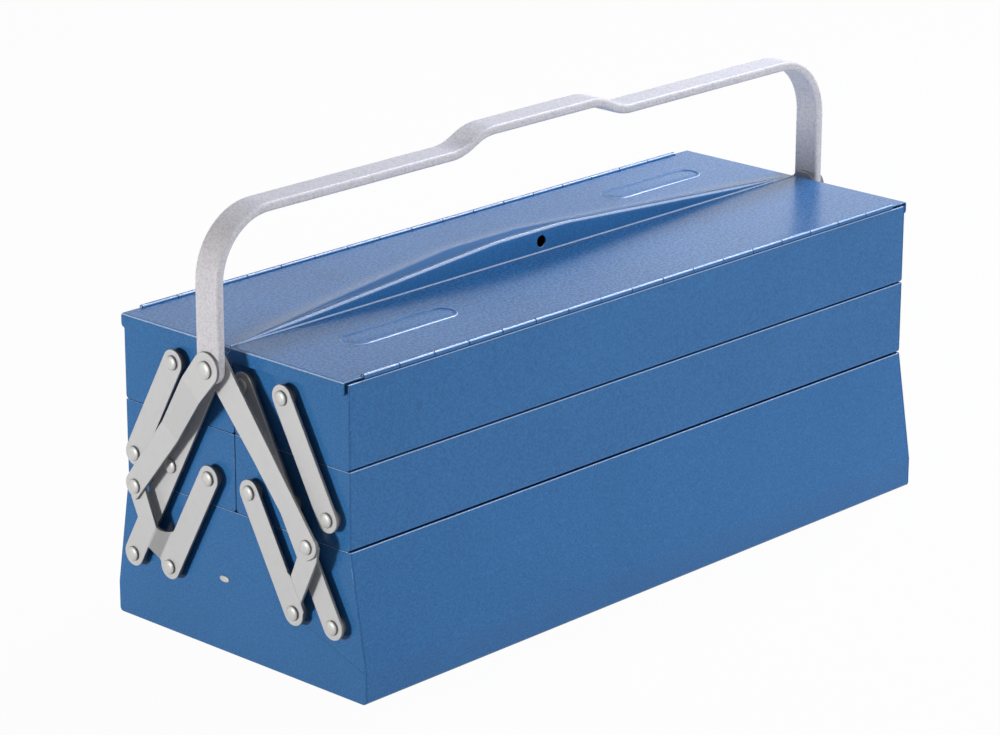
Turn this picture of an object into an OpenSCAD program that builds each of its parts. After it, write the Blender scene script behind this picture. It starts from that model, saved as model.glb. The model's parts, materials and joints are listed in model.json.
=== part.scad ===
// Cantilever tool box: a base and two rows of trays that fold out together when the handle is lowered.
// The origin is the centre of the base's underside. X runs along the box, and the left row is on +Y.

/* [Box] */
// Length of the base and of the trays
box_length = 526.4; // [460:1:620]
// Distance from the centre plane to the outer wall of a tray
half_width = 98.2; // [95:0.1:120]
// Gap between the left and the right row
row_gap = 0.6; // [0.4:0.1:3]
// Height of the base
base_height = 94; // [90:1:110]
// Height of a middle tray
middle_height = 49.8; // [44:0.1:60]
// Height of an upper tray's inner and end walls
upper_height = 54.6; // [50:0.1:70]
// Gap between one tray and the next above it
tray_gap = 0.3; // [0.2:0.1:1]
// How far the base stands out at its foot on each side
flare = 12.05; // [4:0.05:20]
// Height of the base's upright foot strip
foot_height = 20; // [8:1:28]

/* [Sheet] */
// Thickness of all body sheet
sheet = 1; // [0.8:0.05:1.2]
// Outer radius of the folds along the trays
fold_radius = 2.5; // [2.2:0.1:5]
// Depth of the folded-over rims
hem_depth = 7; // [4:0.5:9]
// Gap inside a folded-over rim
hem_gap = 0.3; // [0.2:0.05:0.5]
// Depth of the flanges that join an end wall to its tray
flange_depth = 10; // [6:1:14]

/* [Lids] */
// How far a lid stands out past each end of the trays
lid_overhang = 3; // [2.6:0.1:3.5]
// How far a lid's corners stop short of the tray's outer wall
lid_side_gap = 0.9; // [0.5:0.1:1.5]
// Height of the flange at each end of a lid, from its top face
lid_flange = 9; // [6:0.1:10]
// Corner radius of a lid's end flanges
lid_corner = 3; // [2:0.5:6]
// Gap between a lid and the rims that it closes
lid_seat = 0.3; // [0.2:0.1:1]
// Height of the ridge on the left lid
ridge_height = 17; // [8:0.5:24]
// Length of the ridge's level crest
ridge_crest = 64; // [40:1:120]
// Width of the ridge at its crest
ridge_width = 48; // [30:1:60]
// Width of the ridge at its ends
ridge_end_width = 6; // [3:0.5:10]
// Height of the ridge at its ends
ridge_end_height = 0.5; // [0.3:0.1:2]
// Radius of the ridge's crest
crest_radius = 3; // [2:0.5:4]
// Diameter of the lock hole in the ridge
lock_hole = 8; // [5:0.5:10]
// Height of the lock hole above the lid's top face
lock_height = 7.2; // [6:0.1:10]
// Place of the lock hole along the box
lock_x = 8; // [-20:1:20]

/* [Piano hinges] */
// Outer radius of the knuckles
knuckle_radius = 1.75; // [1.7:0.05:1.9]
// Radius of the hinge pins
pin_radius = 0.9; // [0.7:0.05:0.95]
// Running clearance of pins and rivets in their holes
running_fit = 0.05; // [0.02:0.01:0.1]
// Thickness of the leaves
leaf = 0.8; // [0.6:0.1:0.9]
// Width of the leaves
leaf_width = 12; // [8:1:16]
// Knuckles on each hinge
knuckles = 17; // [9:2:21]
// Gap between knuckles
knuckle_gap = 0.6; // [0.4:0.1:1.5]
// Distance from a tray's end to its hinge
hinge_inset = 13; // [10:0.2:30]
// Gap between a knuckle and the edge of the lid
lid_edge_gap = 0.4; // [0.3:0.05:1]

/* [Linkage] */
// Width of the links
link_width = 16.5; // [14:0.5:18]
// Thickness of the links and arms
link = 2; // [1.5:0.1:2.2]
// How far each link leans in from one pivot to the next
link_run = 37; // [34:0.5:38]
// How far each link rises from one pivot to the next
link_rise = 67.1; // [65:0.1:68]
// Height of the base pivots
base_pivot_z = 46; // [44:1:48]
// Distance of the long links' base pivots from the centre plane
long_pivot_y = 88.5; // [86:0.5:89]
// Distance between a long link and the links beside it
link_spacing = 33.5; // [31:0.5:34]
// Drive arm of a drive plate: distance out from its base pivot
drive_out = 21; // [19:0.5:23]
// Drive arm of a drive plate: distance up from its base pivot
drive_up = 50; // [48:0.5:52]
// Length of a handle arm between its pivots
arm_length = 121.3; // [119:0.1:124]
// Radius of a handle arm's upper end
arm_end = 11; // [9:0.5:12]
// Radius of a handle arm's lower end
arm_foot = 8.5; // [7:0.5:9]

/* [Rivets] */
// Radius of the link rivets
rivet_radius = 3; // [2:0.1:3.4]
// Radius of the link rivets' heads
head_radius = 4.75; // [4.2:0.05:5.2]
// Height of the rivets' heads
head_height = 2; // [1.4:0.1:2.4]
// Radius of the handle rivets
handle_rivet_radius = 3.5; // [2.5:0.1:4]
// Radius of the handle rivets' heads
handle_head_radius = 5.75; // [5:0.05:7]
// Height of the rivets' closed ends
tail_height = 1.8; // [1:0.1:2.2]
// Thickness of the spacers under the links
spacer = 3.8; // [3.4:0.1:4.4]
// Radius of the spacers
spacer_radius = 6; // [5.5:0.1:7]
// Gap between faces that turn on each other
play = 0.15; // [0.1:0.01:0.3]

/* [Handle] */
// Width of the handle bar
bar_width = 20; // [16:0.5:22]
// Thickness of the handle bar
bar = 6; // [4:0.5:7]
// Height of the handle's top face above its pivots
handle_reach = 96; // [90:1:120]
// Outer radius of the handle's corners
handle_corner = 44; // [20:1:60]
// Rise of the grip above the rest of the handle
grip_rise = 10; // [4:0.5:16]
// Length of the level part of the grip
grip_length = 108; // [80:1:140]
// Length of the slope at each end of the grip
grip_slope = 21; // [19:1:40]

/* [Hidden] */
$fn = 48;
paint = [0.24, 0.42, 0.63];
lid_paint = [0.33, 0.48, 0.7];
zinc = [0.78, 0.78, 0.8];
bright = [0.86, 0.86, 0.87];
handle_grey = [0.8, 0.79, 0.81];
half_length = box_length / 2;
inner_y = row_gap / 2;
hem_pitch = sheet + hem_gap;
hem_round = hem_pitch * 0.45;
hem_stack = 2 * sheet + hem_gap;
fold_steps = 4;
round_steps = 10;
handle_steps = 14;
reach = 300; // longer than any piece that it cuts

middle_z = base_height + tray_gap;
middle_top = middle_z + middle_height;
upper_z = middle_top + tray_gap;
upper_top = upper_z + upper_height;
lid_z = upper_top + lid_seat;
lid_top = lid_z + sheet;
hinge_rim = lid_z - leaf - lid_seat;
lid_end = half_length + lid_overhang;

leaf_y = half_width - hem_stack - leaf;
pin_y = leaf_y + knuckle_radius;
pin_z = lid_z - leaf + knuckle_radius;
lid_edge = leaf_y - lid_edge_gap;
lid_side = half_width - lid_side_gap;
hinge_half = half_length - hinge_inset;
knuckle_pitch = 2 * hinge_half / knuckles;

middle_pivot_z = base_pivot_z + link_rise;
upper_pivot_z = middle_pivot_z + link_rise;
link_lean = atan2(link_run, link_rise);
plate_pivot_y = long_pivot_y - link_spacing;
drive_y = plate_pivot_y + drive_out;
drive_z = base_pivot_z + drive_up;
arm_drop = sqrt(arm_length * arm_length - drive_y * drive_y);
handle_pivot_z = drive_z + arm_drop;
arm_lean = atan2(drive_y, arm_drop);

link_s = spacer + play;
head_s = link_s + link + play;
lift_gap = 0.4; // between the link rivets' heads and what passes over them
wing_s = head_s + head_height + lift_gap + tail_height;
arm_s = wing_s + link + play;
leg_s = arm_s + link + play;
front_s = leg_s + bar + play;

// ---- outlines ----

function unit(v) = v / norm(v);
function turned(v) = [-v[1], v[0]];
function spun(v, a) = [v[0] * cos(a) - v[1] * sin(a), v[0] * sin(a) + v[1] * cos(a)];
function side_of(u, v) = sign(u[0] * v[1] - u[1] * v[0]);
function backwards(path) = [for (i = [len(path) - 1 : -1 : 0]) path[i]];

// A path moved sideways to its left by d
function shifted(path, d) = [
    for (i = [0 : len(path) - 1])
        let (
            ahead = turned(unit(path[min(i + 1, len(path) - 1)] - path[min(i, len(path) - 2)])),
            behind = turned(unit(path[max(i, 1)] - path[max(i - 1, 0)]))
        )
        path[i] + d * (ahead + behind) / (1 + ahead * behind)
];

// The points of a corner b between a and c, rounded to radius r
function corner(a, b, c, r, steps) =
    let (
        u = unit(a - b),
        w = unit(c - b),
        half = acos(u * w) / 2,
        centre = b + unit(u + w) * r / sin(half),
        from = b + u * r / tan(half) - centre,
        turn = side_of(b - a, c - b) * (180 - 2 * half)
    )
    [for (k = [0 : steps]) centre + spun(from, turn * k / steps)];

// An open path with each inner corner rounded to its radius, or left sharp at 0
function rounded(path, radii, steps = fold_steps) = [
    for (i = [0 : len(path) - 1])
        each (i == 0 || i == len(path) - 1 || radii[i] == 0
            ? [path[i]]
            : corner(path[i - 1], path[i], path[i + 1], radii[i], steps))
];

// A closed outline with each corner rounded to its radius, or left sharp at 0
function loop(points, radii, steps) =
    let (n = len(points))
    [
        for (i = [0 : n - 1])
            each (radii[i] == 0
                ? [points[i]]
                : corner(points[(i + n - 1) % n], points[i], points[(i + 1) % n], radii[i], steps))
    ];

// The strip between two distances to the left of a path
module sheet_between(path, d1, d2) {
    polygon(concat(shifted(path, d2), backwards(shifted(path, d1))));
}

// Sheet of thickness t whose middle follows the path
module bent_sheet(path, t) {
    sheet_between(path, -t / 2, t / 2);
}

// ---- places ----

// Turns the drawing plane to face out of one end of the box: x is Y, y is Z, and height stands out from the end
module at_end(far) {
    if (far)
        translate([half_length, 0, 0]) rotate([90, 0, 90]) children();
    else
        mirror([1, 0, 0]) translate([half_length, 0, 0]) rotate([90, 0, 90]) children();
}

// Draws the left row's children for either row
module on_side(left) {
    if (left)
        children();
    else
        mirror([0, 1, 0]) children();
}

// Extrudes a YZ section along the box from -half to +half
module along_box(half) {
    translate([-half, 0, 0]) rotate([90, 0, 90]) linear_extrude(2 * half) children();
}

// Extrudes an XZ section across the box from y1 to y2
module across_box(y1, y2) {
    translate([0, y2, 0]) rotate([90, 0, 0]) linear_extrude(y2 - y1) children();
}

// ---- trays ----

// The outside of a tray's section, with the inside of the tray on its left
function tray_outside(z1, inner_top, outer_top) = [
    [inner_y, inner_top], [inner_y, z1], [half_width, z1], [half_width, outer_top]
];
base_outside = [
    [-half_width, base_height], [-half_width - flare, foot_height], [-half_width - flare, 0],
    [half_width + flare, 0], [half_width + flare, foot_height], [half_width, base_height]
];
tray_radii = [0, fold_radius, fold_radius, 0];
base_radii = [0, fold_radius, fold_radius, fold_radius, fold_radius, 0];

// The part of a path left when d is cut off each end
function trimmed(path, d) =
    let (last = len(path) - 1)
    [
        for (i = [0 : last])
            i == 0 ? path[0] + d * unit(path[1] - path[0])
                : i == last ? path[last] + d * unit(path[last - 1] - path[last])
                : path[i]
    ];

// The middle of the sheet that is bent to this outside
function sheet_middle(outside, radii) =
    rounded(shifted(outside, sheet / 2), [for (r = radii) max(0, r - sheet / 2)]);

// A bent sheet with both edges folded in as hems, from the outside of its section
module hemmed_section(outside, radii) {
    middle = sheet_middle(trimmed(outside, sheet / 2), radii);
    last = len(middle) - 1;
    down = unit(middle[1] - middle[0]);
    down_end = unit(middle[last - 1] - middle[last]);
    hem = middle[0] + hem_pitch * turned(down);
    hem_end = middle[last] - hem_pitch * turned(down_end);
    path = concat([hem + hem_depth * down, hem], middle, [hem_end, hem_end + hem_depth * down_end]);
    hem_radii = [hem_round, hem_round];
    path_radii = concat([0], hem_radii, [for (i = [2 : last]) 0], hem_radii, [0]);
    bent_sheet(rounded(path, path_radii), sheet);
}

// An end wall: a plate over the end of a section, flanges inside the section, a hem, and pivot holes
module end_wall(outside, radii, pivots) {
    last = len(outside) - 1;
    flange_path = sheet_middle(trimmed(outside, hem_depth + 2 * sheet), radii);
    hem_side = hem_stack + 2 * sheet;
    hem_span = outside[last][0] - outside[0][0] - 2 * hem_side;
    top = outside[0][1];
    difference() {
        union() {
            translate([0, 0, -sheet])
                linear_extrude(sheet) polygon(shifted(sheet_middle(outside, radii), -sheet / 2));
            translate([0, 0, -sheet - flange_depth])
                linear_extrude(flange_depth) sheet_between(flange_path, sheet / 2, 1.5 * sheet);
            translate([outside[0][0] + hem_side, top - sheet, -hem_stack])
                cube([hem_span, sheet, hem_stack]);
            translate([outside[0][0] + hem_side, top - hem_depth, -hem_stack])
                cube([hem_span, hem_depth, sheet]);
        }
        for (p = pivots)
            translate([p[0], p[1], -reach / 2]) cylinder(r = rivet_radius + running_fit, h = reach);
    }
}

// ---- pivots, each [y, z] on the left row ----

base_pivots = [[long_pivot_y, base_pivot_z], [plate_pivot_y, base_pivot_z]];
middle_pivots = [
    [long_pivot_y - link_run, middle_pivot_z],
    [plate_pivot_y - link_run, middle_pivot_z],
    [long_pivot_y - link_run + link_spacing, middle_pivot_z]
];
upper_pivots = [
    [long_pivot_y - 2 * link_run, upper_pivot_z],
    [long_pivot_y - 2 * link_run + link_spacing, upper_pivot_z]
];
drive_pivot = [drive_y, drive_z];
handle_pivot = [0, handle_pivot_z];
function mirrored(points) = [for (p = points) [-p[0], p[1]]];
all_base_pivots = concat(base_pivots, mirrored(base_pivots));

// Domed head of a rivet, standing on z = 0
module rivet_head(r, h) {
    rim = 0.3 * h;
    dome = h - rim;
    ball = (r * r + dome * dome) / (2 * dome);
    union() {
        cylinder(r = r, h = rim);
        intersection() {
            translate([0, 0, h - ball]) sphere(r = ball);
            translate([0, 0, rim]) cylinder(r = r, h = dome);
        }
    }
}

// A rivet from its closed end's inner face at s1 to the underside of its head at s2
module rivet(s1, s2, r, head, tail) {
    union() {
        translate([0, 0, s1 - tail]) cylinder(r = head, h = tail);
        translate([0, 0, s1]) cylinder(r = r, h = s2 - s1);
        translate([0, 0, s2]) rivet_head(head, head_height);
    }
}

module link_rivets(pivots) {
    for (far = [false, true])
        at_end(far)
            for (p = pivots)
                translate([p[0], p[1], 0])
                    rivet(-sheet, head_s, rivet_radius, head_radius, tail_height / 2);
}

module link_spacers(pivots) {
    for (far = [false, true])
        at_end(far)
            for (p = pivots)
                translate([p[0], p[1], 0])
                    difference() {
                        cylinder(r = spacer_radius, h = spacer);
                        translate([0, 0, -1]) cylinder(r = rivet_radius + running_fit, h = spacer + 2);
                    }
}

// ---- base ----

module base_body() {
    color(paint) along_box(half_length - sheet) hemmed_section(base_outside, base_radii);
}
module base_end(far) {
    color(paint) at_end(far) end_wall(base_outside, base_radii, all_base_pivots);
}
module base_rivets() { color(bright) link_rivets(all_base_pivots); }
module base_spacers() { color(zinc) link_spacers(all_base_pivots); }

// ---- middle and upper trays ----

middle_outside = tray_outside(middle_z, middle_top, middle_top);
upper_outside = tray_outside(upper_z, upper_top, upper_top);
upper_body_outside = tray_outside(upper_z, upper_top, hinge_rim);

module middle_tray(left) {
    color(paint) on_side(left) along_box(half_length - sheet) hemmed_section(middle_outside, tray_radii);
}
module middle_end(left, far) {
    color(paint) on_side(left) at_end(far) end_wall(middle_outside, tray_radii, middle_pivots);
}
module upper_tray(left) {
    color(paint) on_side(left) along_box(half_length - sheet) hemmed_section(upper_body_outside, tray_radii);
}
// The outer corner of an upper end wall is as low as the rim that carries the hinge
module upper_end(left, far) {
    corner_width = hem_stack + 2 * sheet;
    color(paint) on_side(left) at_end(far) difference() {
        end_wall(upper_outside, tray_radii, upper_pivots);
        translate([half_width - corner_width, hinge_rim, -2 * sheet])
            cube([2 * corner_width, hem_depth, 3 * sheet]);
    }
}
module middle_rivets(left) { color(bright) on_side(left) link_rivets(middle_pivots); }
module middle_spacers(left) { color(zinc) on_side(left) link_spacers(middle_pivots); }
module upper_rivets(left) { color(bright) on_side(left) link_rivets(upper_pivots); }
module upper_spacers(left) { color(zinc) on_side(left) link_spacers(upper_pivots); }

// ---- lids ----

// A lid's panel with its two end flanges, notched between its corners for the hinge
module lid_sheet(left) {
    edge = lid_end - sheet / 2;
    under = lid_top - lid_flange;
    path = [[-edge, under], [-edge, lid_top - sheet / 2], [edge, lid_top - sheet / 2], [edge, under]];
    notch = hinge_half + lid_edge_gap;
    on_side(left) difference() {
        intersection() {
            across_box(inner_y, lid_side)
                bent_sheet(rounded(path, [0, 1.2 * sheet, 1.2 * sheet, 0]), sheet);
            along_box(reach) polygon(rounded(
                [
                    [inner_y, lid_top + 1], [inner_y, under], [lid_side, under], [lid_side, lid_top + 1]
                ],
                [0, lid_corner / 3, lid_corner, 0]
            ));
        }
        translate([-notch, lid_edge, lid_z - sheet]) cube([2 * notch, leaf_width, 3 * sheet]);
    }
}

// Section of the ridge at one station: [y, z] points from its foot over the crest to its back edge
function ridge_section(height, width) =
    let (
        r = min(crest_radius, height * 0.8),
        foot = [inner_y, lid_z],
        heel = [inner_y, lid_z + sheet],
        crest = [inner_y, lid_z + sheet + height],
        back = [inner_y + width, lid_z + sheet]
    )
    concat([foot], corner(heel, crest, back, r, fold_steps), [back, [inner_y + width, lid_z]]);

// The ridge as a solid lofted through four stations along the box
module ridge() {
    stations = [-half_length, -ridge_crest / 2, ridge_crest / 2, half_length];
    sections = [
        for (x = stations)
            abs(x) < half_length
                ? ridge_section(ridge_height, ridge_width)
                : ridge_section(ridge_end_height, ridge_end_width)
    ];
    n = len(sections[0]);
    rows = len(stations);
    points = [for (i = [0 : rows - 1]) each [for (p = sections[i]) [stations[i], p[0], p[1]]]];
    sides = [
        for (i = [0 : rows - 2])
            each [
                for (j = [0 : n - 1])
                    let (k = (j + 1) % n, a = i * n + j, b = i * n + k)
                    each [[a, b, a + n], [b, b + n, a + n]]
            ]
    ];
    caps = [[for (j = [n - 1 : -1 : 0]) j], [for (j = [0 : n - 1]) (rows - 1) * n + j]];
    polyhedron(points, concat(sides, caps));
}

// The hollow under the ridge: the ridge lowered by one sheet and kept one sheet behind its face
module ridge_hollow() {
    lean = atan2(ridge_height, ridge_width);
    intersection() {
        translate([0, 0, -sheet / cos(lean)]) ridge();
        translate([-reach, inner_y + sheet, lid_z - 3 * sheet]) cube([2 * reach, reach, reach]);
    }
}

module left_lid() {
    color(lid_paint)
        difference() {
            union() {
                lid_sheet(true);
                ridge();
            }
            ridge_hollow();
            translate([lock_x, inner_y + 2 * sheet, lid_top + lock_height])
                rotate([90, 0, 0]) cylinder(r = lock_hole / 2, h = 4 * sheet);
        }
}
module right_lid() { color(lid_paint) lid_sheet(false); }

// ---- piano hinges ----

function knuckle_start(i) = -hinge_half + i * knuckle_pitch + knuckle_gap / 2;
knuckle_length = knuckle_pitch - knuckle_gap;

// A leaf's knuckles with their tabs: tray leaf on even knuckles, lid leaf on odd ones
module hinge_leaf(tray) {
    difference() {
        union() {
            for (i = [(tray ? 0 : 1) : 2 : knuckles - 1])
                translate([knuckle_start(i), pin_y, pin_z]) {
                    rotate([0, 90, 0]) cylinder(r = knuckle_radius, h = knuckle_length);
                    if (tray)
                        translate([0, -knuckle_radius, hinge_rim - pin_z])
                            cube([knuckle_length, leaf, pin_z - hinge_rim]);
                    else
                        translate([0, lid_edge - pin_y, -knuckle_radius])
                            cube([knuckle_length, pin_y - lid_edge, leaf]);
                }
            if (tray)
                translate([-hinge_half, leaf_y, hinge_rim - leaf_width])
                    cube([2 * hinge_half, leaf, leaf_width]);
            else
                translate([-hinge_half, lid_edge - leaf_width, lid_z - leaf])
                    cube([2 * hinge_half, leaf_width, leaf]);
        }
        translate([-reach, pin_y, pin_z])
            rotate([0, 90, 0]) cylinder(r = pin_radius + running_fit, h = 2 * reach);
    }
}
module hinge_pin() {
    translate([-hinge_half, pin_y, pin_z]) rotate([0, 90, 0]) cylinder(r = pin_radius, h = 2 * hinge_half);
}
module tray_leaf(left) { color(paint) on_side(left) hinge_leaf(true); }
module lid_leaf(left) { color(paint) on_side(left) hinge_leaf(false); }
module pin(left) { color(zinc) on_side(left) hinge_pin(); }

// ---- linkage ----

// A straight strip with round ends and a hole at each pivot
module strip(pivots, width) {
    first = pivots[0];
    last = pivots[len(pivots) - 1];
    direction = last - first;
    difference() {
        union() {
            translate(first) circle(d = width);
            translate(last) circle(d = width);
            translate(first) rotate(atan2(direction[1], direction[0]))
                translate([0, -width / 2]) square([norm(direction), width]);
        }
        for (p = pivots)
            translate(p) circle(r = rivet_radius + running_fit);
    }
}

module link_bar(left, far, pivots) {
    color(zinc) on_side(left) at_end(far)
        translate([0, 0, link_s]) linear_extrude(link) strip(pivots, link_width);
}
long_pivots = [base_pivots[0], middle_pivots[0], upper_pivots[0]];
plate_pivots = [base_pivots[1], middle_pivots[1]];
short_pivots = [middle_pivots[2], upper_pivots[1]];

// Where a drive plate's sheet steps out, measured across its strip
step_start = link_width / 2 + 1.2;
step_end = step_start + 8;
// Distances of the drive arm's outer and inner edges from the line between its pivots
arm_outer = 9.2;
arm_inner = 5.8;
// Inner radius of the notch between the drive arm and the strip
notch_radius = 5.5;

// Where the line through p along u crosses the line through q along w
function meet(p, u, q, w) =
    let (d = q - p)
    p + u * (d[0] * w[1] - d[1] * w[0]) / (u[0] * w[1] - u[1] * w[0]);

// Outline of the drive arm: hub, outer edge, cut-off end, inner edge and the notch beside the strip
module drive_arm_outline() {
    tip = [drive_out, drive_up];
    up = unit(tip);
    out = [up[1], -up[0]];
    strip_up = [-sin(link_lean), cos(link_lean)];
    strip_out = [cos(link_lean), sin(link_lean)];
    hub = [link_width / 2 - 1, -1];
    inner_edge = tip - arm_inner * out;
    strip_edge = strip_out * link_width / 2;
    notch = meet(inner_edge, up, strip_edge, strip_up);
    outline = [
        [0, 0],
        hub,
        tip - 6 * up + arm_outer * out,
        tip + 3.5 * up + 0.75 * arm_outer * out,
        tip + 7.2 * up - 3.4 * out,
        inner_edge + 3 * up,
        notch,
        strip_edge + 40 * strip_up,
        40 * strip_up
    ];
    translate([plate_pivot_y, base_pivot_z])
        difference() {
            polygon(loop(outline, [0, 0, 6, 2, 2, 2, notch_radius, 0, 0], round_steps));
            translate(tip) circle(r = rivet_radius + running_fit);
            circle(r = rivet_radius + running_fit);
        }
}

// Section across a drive plate: low strip, sloping step, high wing
module drive_plate_section() {
    low = link_s + link / 2;
    high = wing_s + link / 2;
    bend = 1.5 * link;
    path = [[-2 * link_width, low], [step_start, low], [step_end, high], [5 * link_width, high]];
    bent_sheet(rounded(path, [0, bend, bend, 0]), link);
}

module drive_plate(left, far) {
    color(zinc) on_side(left) at_end(far)
        intersection() {
            linear_extrude(reach) union() {
                strip(plate_pivots, link_width);
                drive_arm_outline();
            }
            translate([plate_pivot_y, base_pivot_z, 0])
                rotate([0, 0, link_lean]) translate([0, reach / 2, 0])
                    rotate([90, 0, 0]) linear_extrude(reach) drive_plate_section();
        }
}

// A handle arm lies along +x from the handle pivot to the drive pivot, with its outer edge on +y
module arm_outline() {
    end_round = 0.96 * arm_end;
    outline = [
        [-arm_end, -arm_end],
        [-arm_end, arm_end],
        [arm_length + arm_foot, arm_foot],
        [arm_length + arm_foot - 1.4, 2.2 - arm_foot],
        [arm_length / 2, 1 - arm_foot]
    ];
    difference() {
        polygon(loop(outline, [end_round, end_round, arm_foot - 0.5, 1, 0], round_steps));
        circle(r = handle_rivet_radius + running_fit);
        translate([arm_length, 0]) circle(r = rivet_radius + running_fit);
    }
}

// The left arm steps out past the handle's leg, between these distances from the handle pivot
joggle_start = 21;
joggle_end = 66;

module arm_section(stepped) {
    low = arm_s + link / 2;
    high = (stepped ? front_s : arm_s) + link / 2;
    bend = 1.5 * link;
    path = stepped
        ? rounded([[-40, high], [joggle_start, high], [joggle_end, low], [200, low]], [0, bend, bend, 0])
        : [[-40, low], [200, low]];
    bent_sheet(path, link);
}

module arm(left, far) {
    color(zinc) on_side(left) at_end(far)
        translate([0, handle_pivot_z, 0]) rotate([0, 0, arm_lean - 90])
            intersection() {
                linear_extrude(reach) arm_outline();
                translate([0, reach / 2, 0]) rotate([90, 0, 0]) linear_extrude(reach) arm_section(left);
            }
}

// The drive rivets' heads and upper halves turn with the arms
module drive_rivets(left) {
    color(bright) on_side(left)
        for (far = [false, true])
            at_end(far) translate([drive_y, drive_z, 0]) union() {
                translate([0, 0, wing_s + link + play / 2]) cylinder(r = rivet_radius, h = link + play / 2);
                translate([0, 0, arm_s + link]) rivet_head(head_radius, head_height);
            }
}

// The drive rivets' closed ends stay in the drive plates
module drive_tails(left) {
    color(bright) on_side(left)
        for (far = [false, true])
            at_end(far) translate([drive_y, drive_z, 0]) union() {
                translate([0, 0, wing_s - tail_height]) cylinder(r = head_radius, h = tail_height);
                translate([0, 0, wing_s]) cylinder(r = rivet_radius, h = link);
            }
}

module handle_rivets() {
    color(bright)
        for (far = [false, true])
            at_end(far) translate(handle_pivot)
                rivet(arm_s - play, front_s + link + play, handle_rivet_radius, handle_head_radius, tail_height);
}

// ---- handle ----

module handle() {
    leg_x = half_length + leg_s + bar / 2;
    level = handle_pivot_z + handle_reach - bar / 2;
    foot = handle_pivot_z - bar_width;
    grip = grip_length / 2;
    slope = grip + grip_slope;
    corner_radius = handle_corner - bar / 2;
    slope_radius = 40;
    half_path = [[grip, level + grip_rise], [slope, level], [leg_x, level], [leg_x, foot]];
    path = concat(backwards([for (p = half_path) [-p[0], p[1]]]), half_path);
    radii = [0, corner_radius, slope_radius, slope_radius, slope_radius, slope_radius, corner_radius, 0];
    color(handle_grey)
        difference() {
            intersection() {
                across_box(-bar_width / 2, bar_width / 2) bent_sheet(rounded(path, radii, handle_steps), bar);
                along_box(2 * reach) union() {
                    translate(handle_pivot) circle(d = bar_width);
                    translate([-bar_width / 2, handle_pivot_z]) square([bar_width, reach]);
                }
            }
            along_box(2 * reach) translate(handle_pivot) circle(r = handle_rivet_radius + running_fit);
        }
}

// ---- nodes ----

base_body();
base_end(false);  // base_end_near
base_end(true);  // base_end_far
base_rivets();
base_spacers();
middle_tray(true);  // left_middle_tray
middle_end(true, false);  // left_middle_end_near
middle_end(true, true);  // left_middle_end_far
middle_rivets(true);  // left_middle_rivets
middle_spacers(true);  // left_middle_spacers
middle_tray(false);  // right_middle_tray
middle_end(false, false);  // right_middle_end_near
middle_end(false, true);  // right_middle_end_far
middle_rivets(false);  // right_middle_rivets
middle_spacers(false);  // right_middle_spacers
upper_tray(true);  // left_upper_tray
upper_end(true, false);  // left_upper_end_near
upper_end(true, true);  // left_upper_end_far
upper_rivets(true);  // left_upper_rivets
upper_spacers(true);  // left_upper_spacers
upper_tray(false);  // right_upper_tray
upper_end(false, false);  // right_upper_end_near
upper_end(false, true);  // right_upper_end_far
upper_rivets(false);  // right_upper_rivets
upper_spacers(false);  // right_upper_spacers
tray_leaf(true);  // left_hinge_tray_leaf
lid_leaf(true);  // left_hinge_lid_leaf
pin(true);  // left_hinge_pin
tray_leaf(false);  // right_hinge_tray_leaf
lid_leaf(false);  // right_hinge_lid_leaf
pin(false);  // right_hinge_pin
left_lid();
right_lid();
link_bar(true, false, long_pivots);  // left_long_link_near
link_bar(true, true, long_pivots);  // left_long_link_far
link_bar(false, false, long_pivots);  // right_long_link_near
link_bar(false, true, long_pivots);  // right_long_link_far
drive_plate(true, false);  // left_drive_plate_near
drive_plate(true, true);  // left_drive_plate_far
drive_plate(false, false);  // right_drive_plate_near
drive_plate(false, true);  // right_drive_plate_far
link_bar(true, false, short_pivots);  // left_short_link_near
link_bar(true, true, short_pivots);  // left_short_link_far
link_bar(false, false, short_pivots);  // right_short_link_near
link_bar(false, true, short_pivots);  // right_short_link_far
arm(true, false);  // left_arm_near
arm(true, true);  // left_arm_far
arm(false, false);  // right_arm_near
arm(false, true);  // right_arm_far
drive_rivets(true);  // left_drive_rivets
drive_rivets(false);  // right_drive_rivets
drive_tails(true);  // left_drive_tails
drive_tails(false);  // right_drive_tails
handle_rivets();
handle();
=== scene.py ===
"""Looks of the cantilever tool box: painted trays and lids, zinc linkage, rivets and hammered handle."""

import json
import math

import bmesh
import bpy
from bpy.props import FloatProperty, FloatVectorProperty, PointerProperty
from mathutils import Matrix, Vector

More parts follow.
